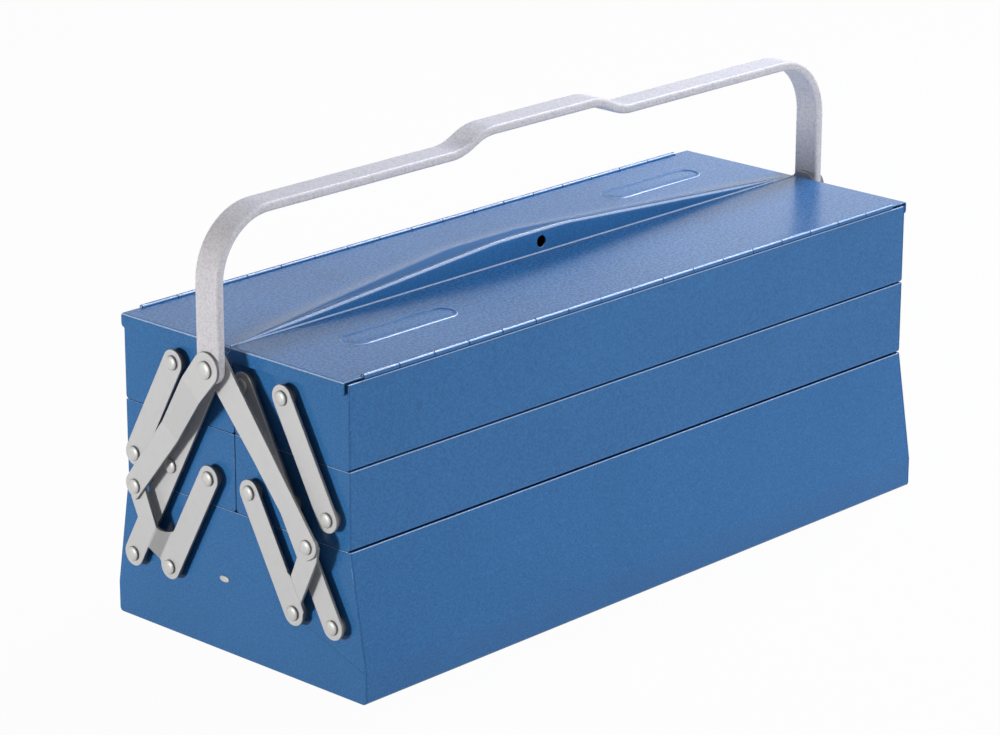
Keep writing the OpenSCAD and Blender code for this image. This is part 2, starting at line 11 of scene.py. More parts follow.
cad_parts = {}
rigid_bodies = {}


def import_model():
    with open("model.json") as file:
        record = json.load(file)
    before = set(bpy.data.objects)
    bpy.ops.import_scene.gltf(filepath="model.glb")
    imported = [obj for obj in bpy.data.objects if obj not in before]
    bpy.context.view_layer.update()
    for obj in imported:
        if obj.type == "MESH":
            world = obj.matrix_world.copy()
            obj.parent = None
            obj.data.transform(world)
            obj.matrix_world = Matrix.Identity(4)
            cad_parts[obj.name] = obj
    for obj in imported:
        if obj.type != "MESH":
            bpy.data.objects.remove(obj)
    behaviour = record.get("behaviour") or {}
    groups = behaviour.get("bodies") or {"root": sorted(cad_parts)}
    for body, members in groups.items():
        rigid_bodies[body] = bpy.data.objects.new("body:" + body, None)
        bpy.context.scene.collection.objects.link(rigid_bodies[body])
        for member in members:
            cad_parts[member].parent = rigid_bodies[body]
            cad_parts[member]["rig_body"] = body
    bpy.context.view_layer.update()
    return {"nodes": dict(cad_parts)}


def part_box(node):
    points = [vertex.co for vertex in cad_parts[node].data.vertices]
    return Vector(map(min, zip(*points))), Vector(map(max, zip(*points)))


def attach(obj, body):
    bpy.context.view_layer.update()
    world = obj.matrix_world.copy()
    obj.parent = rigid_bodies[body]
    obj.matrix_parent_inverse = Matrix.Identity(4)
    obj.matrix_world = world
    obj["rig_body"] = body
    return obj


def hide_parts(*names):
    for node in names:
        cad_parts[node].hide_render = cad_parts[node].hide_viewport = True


bl_info = {
    "name": "Cantilever tool box",
    "version": (1, 0, 0),
    "blender": (4, 5, 0),
    "location": "View3D > Sidebar > Tool box",
    "description": "Builds the painted and plated pieces of a five-compartment cantilever tool box",
    "category": "Object",
}

MM = 0.001
SIDES = ("left", "right")
ENDS = ("near", "far")

# Points of a mesh that are closer than this are one point
WELD = 1e-6

# Steps round a rivet or a drilled hole
ROUND_STEPS = 40

# Faces that turn by less than this are joined into one flat face
FLAT = math.radians(1)

# Turn at which an edge counts as sharp: on most pieces, on the lip, on bent sheet and rivets, and at a
# lid's cut edges
SHARP = math.radians(35)
SHARP_LIP = math.radians(30)
SHARP_ROUND = math.radians(50)
SHARP_CUT = math.radians(60)

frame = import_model()


def size(name, text, value, low=0.0, high=1.0):
    """A length in metres that a user can change."""
    return FloatProperty(
        name=name, description=text, default=value, min=low, max=high, precision=5,
        subtype="DISTANCE", unit="LENGTH"
    )


def share(name, text, value, high=1.0):
    """A plain number from 0 to high."""
    return FloatProperty(name=name, description=text, default=value, min=0.0, max=high)


def angle(name, text, degrees):
    """An angle that a user can change."""
    return FloatProperty(
        name=name, description=text, default=math.radians(degrees), subtype="ANGLE", unit="ROTATION"
    )


def colour(name, text, value):
    """A linear colour."""
    return FloatVectorProperty(
        name=name, description=text, default=value, min=0.0, max=1.0, size=3, subtype="COLOR"
    )


def point(name, text, value):
    """A point in metres."""
    return FloatVectorProperty(
        name=name, description=text, default=value, subtype="TRANSLATION", unit="LENGTH", precision=4
    )


class PaintSettings(bpy.types.PropertyGroup):
    """The blue enamel of the trays, lids and hinges."""

    body: colour("Body colour", "Colour of the enamel", (0.031, 0.137, 0.34))
    # Painted highlight: a paler colour laid on bends that face partly up, where the lamps would glint
    fold_highlight: colour("Fold colour", "Paler colour of the thin paint on sharp folds", (0.6, 0.72, 0.95))
    # Painted shade: a deeper blue laid on the ridge's back, which reflects less light than the level lid
    painted_shade: colour("Shade colour", "Deeper colour of the paint on the ridge's back", (0.003, 0.1, 0.29))
    grain: size("Grain", "Size of the enamel's fine grain", 1.15 * MM, 0.2 * MM, 10 * MM)
    panel_grain: size("Panel grain", "Size of the grain on level panels", 1.84 * MM, 0.2 * MM, 10 * MM)
    grain_height: size("Grain height", "Height of the grain on walls", 0.08 * MM, 0.0, MM)
    panel_grain_height: size("Panel grain height", "Its height on level panels", 0.24 * MM, 0.0, MM)
    # The grain's tone is the enamel's own; that it is stronger on level panels than on walls is painted
    # reflection, for the glints of the orange peel on the lids
    contrast: share("Contrast", "How far the grain lightens and darkens level panels", 0.34)
    wall_contrast: share("Wall contrast", "Share of that contrast that shows on walls", 0.52)
    roughness: share("Roughness", "Roughness of the enamel", 0.13)
    sheen: share("Shine", "Specular level of the enamel", 0.11)
    gloss: share("Gloss", "Weight of the clear gloss over the grain", 0.12)
    gloss_roughness: share("Gloss roughness", "Roughness of that gloss", 0.12)
    edge: size("Edge rounding", "Rounding of the sheet's edges under the paint", 0.35 * MM, 0.0, MM)
    lid_edge: size("Lid edge", "Rounding of the lids' cut edges", 0.2 * MM, 0.0, MM)
    leaf_edge: size("Leaf edge", "Rounding of the hinges' leaves", 0.15 * MM, 0.0, MM)


class MetalSettings(bpy.types.PropertyGroup):
    """Zinc plate, and the links, spacers and hinge pins that wear it."""

    link: colour("Link colour", "Colour of the plated links", (0.47, 0.468, 0.476))
    rivet: colour("Rivet colour", "Colour of the bright rivets", (0.49, 0.49, 0.485))
    link_roughness: share("Link roughness", "Roughness of the plated links", 0.42)
    rivet_roughness: share("Rivet roughness", "Least roughness of the rivets", 0.36)
    link_edge: size("Link edge", "Rounding of the links' edges", 0.4 * MM, 0.0, MM)
    spacer_edge: size("Spacer edge", "Rounding of the spacers' edges", 0.15 * MM, 0.0, MM)
    pin_edge: size("Pin edge", "Rounding of the hinge pins' ends", 0.2 * MM, 0.0, MM)
    # Painted shade: the side faces of the plated pieces and rivets are darkened to this share of their
    # colour
    cut: share("Cut edges", "Brightness of the cut edges beside their faces", 0.3)
    stamp: size("Stamping marks", "Size of the faint marks on the links", 0.8 * MM, 0.1 * MM, 5 * MM)
    cloud: size("Clouds", "Size of the cloudy patches on the links", 6 * MM, MM, 50 * MM)
    wear: size("Wear", "Size of the worn spots on the rivets", 1.6 * MM, 0.1 * MM, 10 * MM)
    relief: size("Relief", "Height of the marks on plated metal", 0.01 * MM, 0.0, 0.1 * MM)


class RivetSettings(bpy.types.PropertyGroup):
    """The rivets, and the oval stud in the near end of the base."""

    dome: size("Dome", "Height of the rivets' domes", 2 * MM, 0.5 * MM, 4 * MM)
    shank: size("Shank", "Radius of the rivets' shanks", 3 * MM, MM, 5 * MM)
    tail: size("Tail", "Height of the rivets' closed ends", 0.9 * MM, 0.0, 3 * MM)
    handle_shank: size("Handle shank", "Radius of the handle rivets' shanks", 3.5 * MM, MM, 5 * MM)
    handle_tail: size("Handle tail", "Height of the handle rivets' closed ends", 1.8 * MM, 0.0, 3 * MM)
    tail_edge: size("Tail edge", "Rounding of the drive rivets' closed ends", 0.3 * MM, 0.0, MM)
    stud_y: size("Stud place", "Place of the oval stud across the box", 11.5 * MM, -0.1, 0.1)
    stud_z: size("Stud height", "Height of the oval stud above the ground", 48.1 * MM, 0.0, 0.1)
    stud_width: size("Stud width", "Width of the oval stud", 8.6 * MM, MM, 20 * MM)
    stud_depth: size("Stud depth", "Upright size of the oval stud", 4.2 * MM, MM, 20 * MM)
    stud_stand: size("Stud stand", "How far the oval stud stands out", 0.7 * MM, 0.1 * MM, 3 * MM)


class LidSettings(bpy.types.PropertyGroup):
    """The lids, their ridge and their plain embossed panels."""

    sheet: size("Sheet", "Thickness of the lid sheet", MM, 0.5 * MM, 2 * MM)
    bend: size("Bend", "Outer radius of the bend at each end of a lid", 1.7 * MM, 1.2 * MM, 4 * MM)
    edge: size("Long edge", "Outer radius of the lids' meeting edges", 1.1 * MM, 0.5 * MM, 2 * MM)
    flange: size("Flange", "Depth of the flange at each end of a lid", 9 * MM, 5 * MM, 15 * MM)
    corner: size("Flange corner", "Radius of the flanges' outer corners", 3 * MM, 0.0, 9 * MM)
    leaf: size("Leaf", "Width of the hinge's leaf under the lid", 12 * MM, 5 * MM, 20 * MM)
    notch: size("Notch", "Gap between the hinge's ends and the lid's corners", 0.4 * MM, 0.1 * MM, 2 * MM)
    lip: size("Lip", "Width of the lip at the foot of the ridge", 0.55 * MM, 0.1 * MM, 2 * MM)
    lip_root: size("Lip root", "How far the lip reaches into the ridge's face", 0.1 * MM, 0.0, MM)
    lip_rise: size("Lip rise", "Height of the lip's root above the lid", 0.65 * MM, 0.0, 2 * MM)
    lip_drop: size("Lip drop", "Depth of the lip's tip below the lid's top", 0.1 * MM, 0.0, 2 * MM)
    lip_foot: size("Lip foot", "Depth of the lip's underside below the lid's top", 0.3 * MM, 0.0, 2 * MM)
    crest_length: size("Crest", "Length of the ridge's level crest", 64 * MM, 0.0, 0.2)
    crest_radius: size("Crest radius", "Radius of the ridge's crest", 3 * MM, MM, 6 * MM)
    ridge_width: size("Ridge width", "Width of the ridge at its crest", 48 * MM, 20 * MM, 70 * MM)
    ridge_end: size("Ridge end", "Width of the ridge at its ends", 6 * MM, 0.0, 20 * MM)
    ridge_stop: size("Ridge stop", "Length of level lid past each end of the ridge", 2 * MM, 0.0, 20 * MM)
    ridge_soft: size("Ridge softness", "Reach of the soft turns along the ridge", 6 * MM, 0.0, 20 * MM)
    crease: size("Crease", "Length over which the ridge's back runs out", 10 * MM, 0.0, 20 * MM)
    lock_hole: size("Lock hole", "Diameter of the lock hole", 8 * MM, MM, 12 * MM)
    lock_x: size("Lock place", "Place of the lock hole along the box", 8 * MM, -20 * MM, 20 * MM)
    lock_height: size("Lock height", "Height of the lock hole above the lid", 7.2 * MM, 0.0, 12 * MM)
    panel_length: size("Panel length", "Length of the embossed panel on each lid", 93 * MM, 20 * MM, 0.2)
    panel_width: size("Panel width", "Width of the embossed panel", 22 * MM, 5 * MM, 50 * MM)
    panel_height: size("Panel height", "Height of the embossed panel's rim", 0.6 * MM, 0.1 * MM, 2 * MM)
    left_panel: point("Left panel", "Middle of the left lid's panel", (180 * MM, 57 * MM, 0.0))
    right_panel: point("Right panel", "Middle of the right lid's panel", (-167 * MM, -44.5 * MM, 0.0))


class HandleSettings(bpy.types.PropertyGroup):
    """The carrying handle."""

    body: colour("Handle colour", "Colour of the hammered paint", (0.575, 0.562, 0.6))
    roughness: share("Roughness", "Least roughness of the hammered paint", 0.3)
    sheen: share("Shine", "Specular level of the hammered paint", 0.2)
    edge: size("Edge rounding", "Rounding of the bar's edges", 1.9 * MM, 0.1 * MM, 2.4 * MM)
    hammer: size("Hammer size", "Size of the hammered paint's cells", 1.6 * MM, 0.2 * MM, 10 * MM)
    hammer_height: size("Hammer height", "Height of the hammered paint's cells", 0.1 * MM, 0.0, MM)


class StageSettings(bpy.types.PropertyGroup):
    """Camera, lamps and floor."""

    azimuth: angle("Azimuth", "Where the camera stands around the box", -46.66)
    elevation: angle("Elevation", "How far the camera looks down", 18.35)
    roll: angle("Roll", "Roll of the camera", 0.12)
    focal: FloatProperty(name="Focal length", description="Lens in millimetres", default=135.07, min=10.0)
    camera: point("Camera place", "Where the camera stands", (-1.7002, -1.5752, 0.8923))
    surroundings: share("Surroundings", "Strength of the light from all around", 0.12, 2.0)
    key: share("Key", "Strength of the low lamp beside the near end", 33.5, 500.0)
    fill: share("Fill", "Strength of the soft lamp in front of the long side", 31.5, 500.0)
    top: share("Top", "Strength of the soft lamp above the lids", 50.0, 500.0)
    far: share("Far", "Strength of the low lamp that the far ends of the lids reflect", 1.5, 500.0)
    glow: share("Floor glow", "How much of the floor's white shows without the object's shadow", 0.97)
    floor: share("Floor", "Brightness of the floor to the light", 0.45)
    floor_reach: size("Floor reach", "Half width of the floor", 14.0, 1.0, 50.0)


# ---- mesh helpers ----


def new_object(name, mesh):
    """An object for a mesh, with its origin at the frame's."""
    piece = bpy.data.objects.new(name, mesh)
    bpy.context.scene.collection.objects.link(piece)
    return piece


def mesh_piece(name, points, faces, welded=False):
    """A smooth-shaded object from points and faces, with points in one spot made one if welded."""
    mesh = bpy.data.meshes.new(name)
    mesh.from_pydata(points, [], faces)
    mesh.validate()
    shape = bmesh.new()
    shape.from_mesh(mesh)
    if welded:
        bmesh.ops.remove_doubles(shape, verts=shape.verts, dist=WELD)
    bmesh.ops.recalc_face_normals(shape, faces=shape.faces)
    shape.to_mesh(mesh)
    shape.free()
    mesh.shade_smooth()
    return new_object(name, mesh)


def finish_piece(piece, slot, body, replaces=()):
    """Gives a piece its finish and its body, and hides the CAD nodes that it stands for."""
    piece.data.materials.clear()
    piece.data.materials.append(material_for(slot))
    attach(piece, body)
    if replaces:
        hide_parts(*replaces)


def baked(piece):
    """Turns a piece's modifiers into plain mesh."""
    bpy.context.view_layer.update()
    shown = piece.evaluated_get(bpy.context.evaluated_depsgraph_get())
    mesh = bpy.data.meshes.new_from_object(shown)
    piece.modifiers.clear()
    piece.data = mesh
    return piece


def round_edges(piece, width, limit=SHARP, segments=2):
    """Rounds the sharp edges of a piece and keeps its flat faces flat."""
    edges = piece.modifiers.new("rounded edges", "BEVEL")
    edges.width = width
    edges.segments = segments
    edges.limit_method = "ANGLE"
    edges.angle_limit = limit
    edges.use_clamp_overlap = False
    flat = piece.modifiers.new("flat faces", "WEIGHTED_NORMAL")
    flat.keep_sharp = True
    flat.weight = 100


def dress_node(node, name, edge, slot, segments=2):
    """A piece from a CAD node: its faces joined up, its edges rounded and its curves smooth."""
    source = frame["nodes"][node]
    shape = bmesh.new()
    shape.from_mesh(source.data)
    bmesh.ops.remove_doubles(shape, verts=shape.verts, dist=WELD)
    bmesh.ops.dissolve_limit(
        shape, angle_limit=FLAT, verts=shape.verts, edges=shape.edges,
        use_dissolve_boundaries=False
    )
    mesh = bpy.data.meshes.new(name)
    shape.to_mesh(mesh)
    shape.free()
    mesh.shade_smooth()
    mesh.set_sharp_from_angle(angle=SHARP)
    piece = new_object(name, mesh)
    round_edges(piece, edge, segments=segments)
    finish_piece(piece, slot, source["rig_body"], [node])


def solids_in(node):
    """The lowest and highest corner of each separate solid of a CAD node."""
    shape = bmesh.new()
    shape.from_mesh(frame["nodes"][node].data)
    bmesh.ops.remove_doubles(shape, verts=shape.verts, dist=WELD)
    waiting = set(shape.verts)
    boxes = []
    while waiting:
        island = [waiting.pop()]
        for vert in island:
            for edge in vert.link_edges:
                other = edge.other_vert(vert)
                if other in waiting:
                    waiting.remove(other)
                    island.append(other)
        spots = [vert.co for vert in island]
        low = Vector([min(spot[i] for spot in spots) for i in range(3)])
        high = Vector([max(spot[i] for spot in spots) for i in range(3)])
        boxes.append((low, high))
    shape.free()
    return sorted(boxes, key=lambda box: tuple(round(value, 5) for value in box[0]))


def arc(centre, radius, start, end, steps):
    """Points on an arc, with its angles in degrees."""
    turns = [math.radians(start + (end - start) * k / steps) for k in range(steps + 1)]
    return [(centre[0] + radius * math.cos(a), centre[1] + radius * math.sin(a)) for a in turns]


def between(first, second, part):
    """The point a part of the way from one point to another."""
    return tuple(a + (b - a) * part for a, b in zip(first, second))


def grid_faces(rows, columns, closed=False):
    """Four-sided faces that join rows of points; if closed, each row is a loop."""
    last = columns if closed else columns - 1
    return [
        (
            row * columns + column,
            row * columns + (column + 1) % columns,
            (row + 1) * columns + (column + 1) % columns,
            (row + 1) * columns + column,
        )
        for row in range(rows - 1)
        for column in range(last)
    ]


# ---- materials ----

BLACK = (0.0, 0.0, 0.0)

# Width of the slow drift of the enamel's tone, and its share of the tone beside the grain's
DRIFT = 90 * MM
DRIFT_SHARE = 0.12

# Size of the fine grain in the paint, as a share of the grain's, and its share of the relief
FINE = 0.4
FINE_SHARE = 0.25

# Noise between these values spans a paint's darkest and lightest tones
SPREAD = (0.38, 0.62)

# How far up a face points, from 0 on a wall to 1 on a level panel, where each of the enamel's masks starts
# and where it is full: level panels, the painted highlight on folds from either side, and the painted shade
# on the ridge's back from either side
LEVEL = (0.95, 0.99)
FOLD_LOW, FOLD_HIGH = (0.42, 0.6), (0.92, 0.84)
BACK_LOW, BACK_HIGH = (0.928, 0.938), (0.985, 0.965)

# How far the painted highlight pales a fold where the grain is dark, and how much further where it is light
FOLD_HIGHLIGHT_BASE, FOLD_HIGHLIGHT_GRAIN = 0.45, 0.5

# How far the ridge's back turns to its painted shade, laid where it reflects less light than the level lid,
# and how much duller it is
BACK_SHADE, BACK_DULL = 0.9, 0.45

# Zinc plate looks greyer than bare metal, so little of it is metallic
PLATE_METALLIC = 0.15


class Socket:
    """A shader node's output that takes part in sums and products."""

    def __init__(self, tree, output):
        self.tree = tree
        self.output = output

    def maths(self, operation, first, second):
        """The result of a Math node on two values or outputs."""
        return self.tree.node("ShaderNodeMath", {"operation": operation}, [first, second])

    def __add__(self, other):
        return self.maths("ADD", self, other)

    def __radd__(self, other):
        return self.maths("ADD", other, self)

    def __sub__(self, other):
        return self.maths("SUBTRACT", self, other)

    def __rsub__(self, other):
        return self.maths("SUBTRACT", other, self)

    def __mul__(self, other):
        return self.maths("MULTIPLY", self, other)

    def __rmul__(self, other):
        return self.maths("MULTIPLY", other, self)


class Tree:
    """A node tree that is written as expressions."""

    def __init__(self, owner):
        owner.use_nodes = True
        self.nodes = owner.node_tree.nodes
        self.links = owner.node_tree.links
        self.nodes.clear()

    def node(self, kind, settings=None, values=None, output=0):
        """Adds a node: its settings first, then the values or links of its inputs; gives one output."""
        made = self.nodes.new(kind)
        for name, value in (settings or {}).items():
            setattr(made, name, value)
        pairs = values.items() if isinstance(values, dict) else enumerate(values or [])
        for name, value in pairs:
            if isinstance(value, Socket):
                self.links.new(value.output, made.inputs[name])
            else:
                made.inputs[name].default_value = value
        return Socket(self, made.outputs[output]) if len(made.outputs) else None

    def blend(self, factor, first, second):
        """A colour between two colours, each a socket or three numbers."""
        ends = [end if isinstance(end, Socket) else (*end, 1.0) for end in (first, second)]
        return self.node(
            "ShaderNodeMix", {"data_type": "RGBA"}, {0: factor, 6: ends[0], 7: ends[1]}, output=2
        )

    def ramp(self, value, start, end, low=0.0, high=1.0):
        """A value read on a straight ramp from low at its start to high at its end, and level past both."""
        return self.node("ShaderNodeMapRange", {}, [value, start, end, low, high])

    def places(self):
        """Points in the object's own metres."""
        return self.node("ShaderNodeTexCoord", output="Object")

    def noise(self, feature, detail=2.0, rough=0.5):
        """Soft noise with features of a size in metres."""
        return self.node(
            "ShaderNodeTexNoise", {},
            {"Vector": self.places(), "Scale": 1.0 / feature, "Detail": detail, "Roughness": rough}
        )

    def cells(self, feature):
        """Rounded cells of a size in metres, 0 at the middle of each."""
        return self.node(
            "ShaderNodeTexVoronoi", {"feature": "SMOOTH_F1"},
            {"Vector": self.places(), "Scale": 1.0 / feature, "Smoothness": 0.6}
        )

    def facing(self, axis):
        """How far the surface faces along one axis of its own, from -1 to 1."""
        normal = self.node("ShaderNodeTexCoord", output="Normal")
        return self.node("ShaderNodeSeparateXYZ", {}, [normal], output=axis)

    def end_face(self, start, full, least):
        """1 on faces that look along the box, down to a least value on those that look across it."""
        out = self.facing("X")
        either = out.maths("MAXIMUM", out, out * -1)
        return self.ramp(either, start, full, least)

    def bump(self, height, depth):
        """A normal from a height between 0 and 1 that stands for a depth in metres."""
        return self.node("ShaderNodeBump", {}, {"Strength": 1.0, "Distance": depth, "Height": height})

    def shader(self, **inputs):
        """The surface, from the inputs of a Principled shader."""
        named = {
            name.replace("_", " ").title().replace("Ior", "IOR"): value
            for name, value in inputs.items()
        }
        surface = self.node("ShaderNodeBsdfPrincipled", {}, named)
        self.node("ShaderNodeOutputMaterial", {}, {"Surface": surface})


def toned(tint, factor):
    """A colour made darker or lighter."""
    return [min(1.0, channel * factor) for channel in tint]


def enamel(tree):
    """Blue enamel: orange-peel grain, stronger on level panels as painted reflection, a slight drift of
    tone, a painted highlight on up-facing folds, painted shade on the ridge's back and a clear gloss.
    """
    settings = bpy.context.scene.tool_box_paint
    body = settings.body
    fine = tree.noise(settings.grain * FINE, 1.0)
    drift = tree.noise(DRIFT, 2.0)

    up = tree.facing("Z")
    level = tree.ramp(up, *LEVEL)
    # Painted highlight on bends that face partly up
    fold_highlight = tree.ramp(up, *FOLD_LOW) * tree.ramp(up, *FOLD_HIGH)
    ridge_back = tree.ramp(up, *BACK_LOW) * tree.ramp(up, *BACK_HIGH)

    wall_grain = tree.noise(settings.grain, 3.0, rough=0.6)
    panel_grain = tree.noise(settings.panel_grain, 1.5)
    grain = wall_grain + (panel_grain - wall_grain) * level
    tone = tree.ramp(grain * (1.0 - DRIFT_SHARE) + drift * DRIFT_SHARE, *SPREAD)
    # Full contrast on level panels, less on walls: the extra on the panels is painted reflection
    strength = settings.wall_contrast + level * (1.0 - settings.wall_contrast)
    tone = 0.5 + (tone - 0.5) * strength
    paint = tree.blend(tone, toned(body, 1.0 - settings.contrast), toned(body, 1.0 + settings.contrast))
    # Painted shade on the ridge's back
    paint = tree.blend(ridge_back * BACK_SHADE, paint, settings.painted_shade)
    relief = grain * (1.0 - FINE_SHARE) + fine * FINE_SHARE
    raised = 1.0 + level * (settings.panel_grain_height / settings.grain_height - 1.0)
    tree.shader(
        base_color=tree.blend(fold_highlight * (FOLD_HIGHLIGHT_BASE + tone * FOLD_HIGHLIGHT_GRAIN), paint, settings.fold_highlight),
        roughness=settings.roughness + (fine - 0.5) * 0.1 + ridge_back * BACK_DULL,
        specular_ior_level=settings.sheen,
        coat_weight=settings.gloss * (1.0 - ridge_back),
        coat_roughness=settings.gloss_roughness,
        normal=tree.bump(relief * raised, settings.grain_height),
    )


def link_zinc(tree):
    """Satin zinc plate with faint cloudy patches, and painted shade on its side faces."""
    settings = bpy.context.scene.tool_box_metal
    cloud = tree.noise(settings.cloud, 4.0)
    fine = tree.noise(settings.stamp, 2.0)
    tone = tree.ramp(cloud * 0.4 + fine * 0.6, 0.35, 0.65, 0.95, 1.05)
    # Painted shade on the side faces, which look across the box
    face = tree.end_face(0.45, 0.9, settings.cut)
    tree.shader(
        base_color=tree.blend(tone * face, BLACK, settings.link),
        metallic=PLATE_METALLIC,
        roughness=settings.link_roughness + (cloud - 0.5) * 0.08,
        normal=tree.bump(fine, settings.relief),
    )


def rivet_zinc(tree):
    """Bright zinc on the rivets with worn spots, and painted shade on the sides of their heads."""
    settings = bpy.context.scene.tool_box_metal
    wear = tree.noise(settings.wear, 3.0)
    # Painted shade: the sides of the heads are darkened, a dark ring round each dome
    face = tree.end_face(0.5, 0.86, settings.cut)
    tree.shader(
        base_color=tree.blend(face * (0.95 + wear * 0.1), BLACK, settings.rivet),
        metallic=PLATE_METALLIC,
        roughness=settings.rivet_roughness + wear * 0.12,
        normal=tree.bump(wear, settings.relief),
    )


def hammered_grey(tree):
    """Light grey hammered paint on the handle."""
    settings = bpy.context.scene.tool_box_handle
    cells = tree.cells(settings.hammer)
    fine = tree.noise(settings.hammer * 0.5, 2.0)
    tone = tree.ramp(cells * 0.6 + fine * 0.4, 0.25, 0.75, 1.0, 0.0)
    tree.shader(
        base_color=tree.blend(tone, toned(settings.body, 0.82), toned(settings.body, 1.14)),
        roughness=settings.roughness + fine * 0.16,
        specular_ior_level=settings.sheen,
        normal=tree.bump(1.0 - cells, settings.hammer_height),
    )


# The material of each slot, and what makes its nodes
FINISHES = {
    "blue_paint": ("blue_enamel", enamel),
    "link_zinc": ("satin_zinc", link_zinc),
    "rivet_zinc": ("bright_zinc", rivet_zinc),
    "handle_paint": ("hammered_grey", hammered_grey),
}


def material_for(slot):
    """The material of a slot, made the first time that it is asked for."""
    name, fill = FINISHES[slot]
    made = bpy.data.materials.get(name)
    if not made:
        made = bpy.data.materials.new(name)
        fill(Tree(made))
    return made


# ---- trays ----


class TOOLBOX_OT_trays(bpy.types.Operator):
    """Make the base and the four trays"""

    bl_idname = "toolbox.trays"
    bl_label = "Trays"

    def execute(self, context):
        edge = context.scene.tool_box_paint.edge
        bodies = ["base_body"]
        walls = [f"base_end_{end}" for end in ENDS]
        for side in SIDES:
            for level in ("middle", "upper"):
                bodies.append(f"{side}_{level}_tray")
                walls += [f"{side}_{level}_end_{end}" for end in ENDS]
        for node in bodies + walls:
            dress_node(node, f"{node}_painted", edge, "blue_paint")
        return {"FINISHED"}


# ---- lids ----

# Steps of the grid across a lid: up its inner edge, over the crest, down the back, through the crease
# and over the level part
RISE_STEPS, CREST_STEPS, BACK_STEPS, CREASE_STEPS, LEVEL_STEPS = 4, 10, 4, 6, 6

# Steps of the grid along a lid: down an end flange, round its bend, and from there to the lid's middle
FLANGE_STEPS, BEND_STEPS, HALF_STEPS = 8, 6, 44

# Width of the sharp step where a lid widens from its hinge to its corner
STEP_WIDTH = 0.02 * MM

# Length of the drill for the lock hole, enough to pass the ridge's face alone
DRILL_LENGTH = 6 * MM

# Most of the ridge's height that the radius of its crest takes up, and most of its width that half its
# crease takes up, where it is low and narrow
CREST_SHARE, CREASE_SHARE = 0.8, 0.6


def lid_box(side):
    """A lid's half length, inner edge and outer edge, from the box's middle, and the height of its top."""
    low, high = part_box(f"{side}_lid")
    inner, outer = sorted((abs(low.y), abs(high.y)))
    return high.x, inner, outer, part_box("right_lid")[1].z


def along(values, place):
    """The value at a place on straight lines through (place, value) pairs, level past their ends."""
    for (x1, v1), (x2, v2) in zip(values, values[1:]):
        if place <= x2:
            return v1 + (v2 - v1) * max(0.0, place - x1) / (x2 - x1)
    return values[-1][1]


def lid_section(settings, inner, outer, top, height, width):
    """Points across a lid's upper face, as (y, z) from its inner edge to its outer edge.

    Height and width are the ridge's at this place. Without a ridge the same points lie on the level lid.
    """
    bottom = top - settings.sheet
    run = max(width, MM)
    radius = max(settings.edge, min(settings.crest_radius, CREST_SHARE * height))
    lean = math.degrees(math.atan2(height, run))
    crest = (inner + radius, top + height - radius)
    crease = min(settings.crease, CREASE_SHARE * width)
    far = inner + max(width, 2 * radius) + crease
    crease_start = (far - 2 * crease, top + height * crease / run)
    rise = [between((inner, bottom), (inner, crest[1]), k / RISE_STEPS) for k in range(RISE_STEPS)]
    bend = arc(crest, radius, 180.0, 90.0 - lean, CREST_STEPS)
    back = [between(bend[-1], crease_start, k / BACK_STEPS) for k in range(1, BACK_STEPS)]
    runout = []
    for k in range(CREASE_STEPS + 1):
        part = k / CREASE_STEPS
        y, _ = between(crease_start, (far, top), part)
        _, z = between(crease_start, (far, top), 2 * part - part * part)
        runout.append((y, z))
    level = [between((far, top), (outer, top), k / LEVEL_STEPS) for k in range(1, LEVEL_STEPS + 1)]
    return rise + bend + back + runout + level


def ridge_at(settings, end, peak, place):
    """Height and width of the ridge at a place along the lid, evened out over its soft reach."""
    crest = settings.crest_length / 2
    heights = [(0.0, peak), (crest, peak), (end - settings.ridge_stop, 0.0), (end, 0.0)]
    widths = [(0.0, settings.ridge_width), (crest, settings.ridge_width), (end, settings.ridge_end)]
    near = [max(0.0, abs(place) + settings.ridge_soft * k) for k in (-1, -0.5, 0, 0.5, 1)]
    tall = sum(along(heights, spot) for spot in near) / len(near)
    wide = sum(along(widths, spot) for spot in near) / len(near)
    return max(0.0, tall), wide


def lid_stations(settings, end, notch):
    """Places along a lid's upper face: (x, how far below the top)."""
    bend = settings.bend
    start = end - bend
    flange = settings.flange - bend
    down = [(end, bend + flange * k / FLANGE_STEPS) for k in range(FLANGE_STEPS, 0, -1)]
    turn = [(start + x, bend - z) for x, z in arc((0.0, 0.0), bend, 0.0, 90.0, BEND_STEPS)]
    places = [start * k / HALF_STEPS for k in range(HALF_STEPS)] + [notch, notch + STEP_WIDTH]
    half = down + turn + [(x, 0.0) for x in sorted(places, reverse=True)]
    return half + [(-x, drop) for x, drop in reversed(half[:-1])]


def lid_mesh(side):
    """A lid's upper face: panel, ridge on the left lid, and bent end flanges with rounded corners."""
    settings = bpy.context.scene.tool_box_lids
    end, inner, outer, top = lid_box(side)
    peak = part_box("left_lid")[1].z - top if side == "left" else 0.0
    mirror = 1 if side == "left" else -1
    low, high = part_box(f"{side}_hinge_lid_leaf")
    notch = high.x + settings.notch
    beside_hinge = min(abs(low.y), abs(high.y)) + settings.leaf
    corner_start = settings.flange - settings.corner
    stations = lid_stations(settings, end, notch)
    points = []
    for x, drop in stations:
        height, width = 0.0, settings.ridge_end
        if peak and drop == 0:
            height, width = ridge_at(settings, end - settings.bend, peak, x)
        reach = outer if abs(x) > notch else beside_hinge
        depth = max(0.0, drop - corner_start)
        cut = settings.corner - math.sqrt(max(0.0, settings.corner ** 2 - depth ** 2))
        for y, z in lid_section(settings, inner, reach, top, height, width):
            if drop:
                y = inner + (y - inner) * (outer - cut - inner) / (outer - inner)
            points.append((x, mirror * y, z - drop))
    columns = len(points) // len(stations)
    return mesh_piece(f"{side}_lid_painted", points, grid_faces(len(stations), columns))


